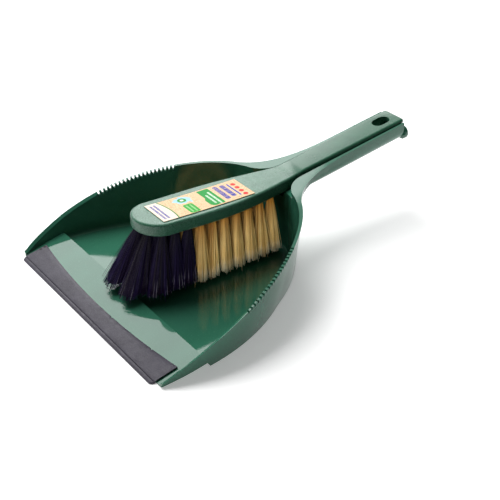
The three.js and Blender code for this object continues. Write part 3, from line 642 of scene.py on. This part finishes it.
class Bundle:
    """Collects the mesh of one tuft, with each point's place along the bristle and its shade."""

    def __init__(self, tuft, rng):
        self.tuft = tuft
        self.rng = rng
        self.points, self.faces, self.along, self.shades = [], [], [], []
        self.locks = [self.lock(2 * math.pi * k / LOCKS) for k in range(LOCKS)]

    def lock(self, angle):
        """A clump's angle round the tuft, its shade, which sets how much painted shade its fibres get, and
        how far its tips are lifted.
        """
        turn = self.rng.uniform(-LOCK_TURN, LOCK_TURN)
        shade = self.rng.uniform(0, LOCK_SHADE)
        return angle + turn, shade, self.rng.gauss(0, LOCK_LIFT)

    def rows(self, count, rings):
        """Joins the last `rings` rings of `count` points into a closed tube."""
        first = len(self.points) - rings * count
        for ring in range(rings - 1):
            for k in range(count):
                a = first + ring * count + k
                b = first + ring * count + (k + 1) % count
                self.faces.append((a, a + count, b + count, b))
        self.faces.append(tuple(range(first, first + count)))
        self.faces.append(tuple(range(first + (rings - 1) * count, len(self.points)))[::-1])

    def add(self, point, along, shade):
        self.points.append(point)
        self.along.append(along)
        self.shades.append(shade)

    def core(self, spread):
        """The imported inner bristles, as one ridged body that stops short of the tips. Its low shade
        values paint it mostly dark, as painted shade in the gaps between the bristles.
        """
        ridges = [(self.rng.uniform(*CORE_WIDTH), self.rng.uniform(*CORE_SHADE)) for _ in range(CORE_SIDES)]
        for step in range(CORE_STEPS):
            down = CORE_LENGTH * step / (CORE_STEPS - 1)
            for k, (radius, shade) in enumerate(ridges):
                turn = 2 * math.pi * k / CORE_SIDES
                out, aside = radius * math.cos(turn), radius * math.sin(turn)
                start = self.tuft.start(out, aside)
                end = self.tuft.end(squarish(out) * spread[0], squarish(aside) * spread[1])
                self.add(along_bristle(start, end, down), down, shade)
        self.rows(CORE_SIDES, CORE_STEPS)

    def strand(self, spread):
        """One bristle. Bristles gather in locks, each with a length and shade of its own."""
        rng = self.rng
        radius = math.sqrt(rng.uniform(*STRAND_RING))
        lock_angle, lock_shade, lock_lift = rng.choice(self.locks)
        angle = lock_angle + rng.gauss(0, LOCK_WIDTH)
        out, aside = radius * math.cos(angle), radius * math.sin(angle)
        start = self.tuft.start(out, aside)
        end = self.tuft.end(squarish(out) * spread[0], squarish(aside) * spread[1])
        lift = EDGE_LIFT * radius ** 3 + lock_lift + rng.uniform(*LENGTH_SPREAD)
        end += Vector((rng.gauss(0, TIP_SCATTER), rng.gauss(0, TIP_SCATTER), lift)) * MM
        if rng.random() < STRAY_SHARE:
            aside_x, aside_y = rng.gauss(0, STRAY_SCATTER), rng.gauss(0, STRAY_SCATTER)
            end += Vector((aside_x, aside_y, -rng.uniform(*STRAY_DROP))) * MM
        sway = Vector((rng.gauss(0, 1), rng.gauss(0, 1), 0)).normalized() * rng.uniform(*SWAY) * MM
        half_waves = rng.uniform(*SWAY_HALF_WAVES)
        phase = rng.uniform(0, 2 * math.pi)
        # A low shade value gives the bristle more painted shade in its material
        shade = 1.0 if rng.random() < ODD_SHARE else lock_shade + rng.uniform(0, SHADE_SPREAD)
        for step in range(STRAND_STEPS):
            down = max(step - 1, 0) / (STRAND_STEPS - 2)
            centre = along_bristle(start, end, down)
            centre += sway * math.sin(half_waves * down * math.pi + phase) * down
            if step == 0:
                centre.z += ROOT_HIDDEN
            width = STRAND_RADIUS * (1 - TIP_TAPER * down ** 4)
            for corner in range(STRAND_SIDES):
                turn = phase + corner * 2 * math.pi / STRAND_SIDES
                self.add(centre + Vector((math.cos(turn), math.sin(turn), 0)) * width, down, shade)
        self.rows(STRAND_SIDES, STRAND_STEPS)


def squarish(share):
    """Pushes a round spread towards a square one, as bristles do where tufts crowd each other."""
    return math.copysign(abs(share) ** SQUARE_POWER, share)


def along_bristle(start, end, down):
    """The point a share `down` of the way from root to tip, on one gentle bend."""
    point = start.lerp(end, down ** BRISTLE_CURVE)
    point.z = start.z + (end.z - start.z) * down
    return point


def make_tuft(node, material, spread, rng):
    """One tuft of separate bristles round a core, in place of the plain CAD tuft."""
    bundle = Bundle(Tuft(node), rng)
    bundle.core(spread)
    for _ in range(STRANDS):
        bundle.strand(spread)
    tuft = add_object(node.replace("tuft", "bristles"), bundle.points, bundle.faces, material)
    for name, values in (("along", bundle.along), ("shade", bundle.shades)):
        tuft.data.attributes.new(name, "FLOAT", "POINT").data.foreach_set("value", values)
    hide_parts(node)
    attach(tuft, "brush")
    return tuft


# ======== The scene ========

bpy.context.scene.view_settings.view_transform = "Standard"
make_camera()
make_floor()
make_world()
make_softbox("key", KEY_CENTRE, KEY_SIZE, KEY_RADIANCE, KEY_ROLL)
make_softbox("top", TOP_CENTRE, TOP_SIZE, TOP_RADIANCE).visible_glossy = False

refinish("pan_body", pan_plastic(), PAN_EDGE)
refinish("brush_body", brush_plastic(), BRUSH_EDGE)
refinish("label", label_print(), LABEL_EDGE)
make_lip(lip_rubber())

# The pale fibres' golden-brown root colour is partly their own tone and partly painted shade under the head
pale = bristle("pale_bristle", linear("bd8228"), linear("f8d68c"), linear("fff2cf"), linear("fffbe8"),
               PALE_GLOSS)
# The dark fibres' odd pale grey tips are partly frayed ends and partly painted highlights
dark = bristle("dark_bristle", linear("0c061d"), linear("190d36"), linear("261b44"), linear("b0a9b8"),
               DARK_GLOSS)
rng = random.Random(BRISTLE_SEED)
tufts = []
for node in sorted(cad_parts):
    if node.startswith("tuft_dark"):
        tufts.append(make_tuft(node, dark, DARK_SPREAD, rng))
    elif node.startswith("tuft_pale"):
        tufts.append(make_tuft(node, pale, PALE_SPREAD, rng))

fill = make_softbox("bristle_fill", BRISTLE_FILL_CENTRE, BRISTLE_FILL_SIZE, BRISTLE_FILL_RADIANCE)
light_only(fill, tufts)
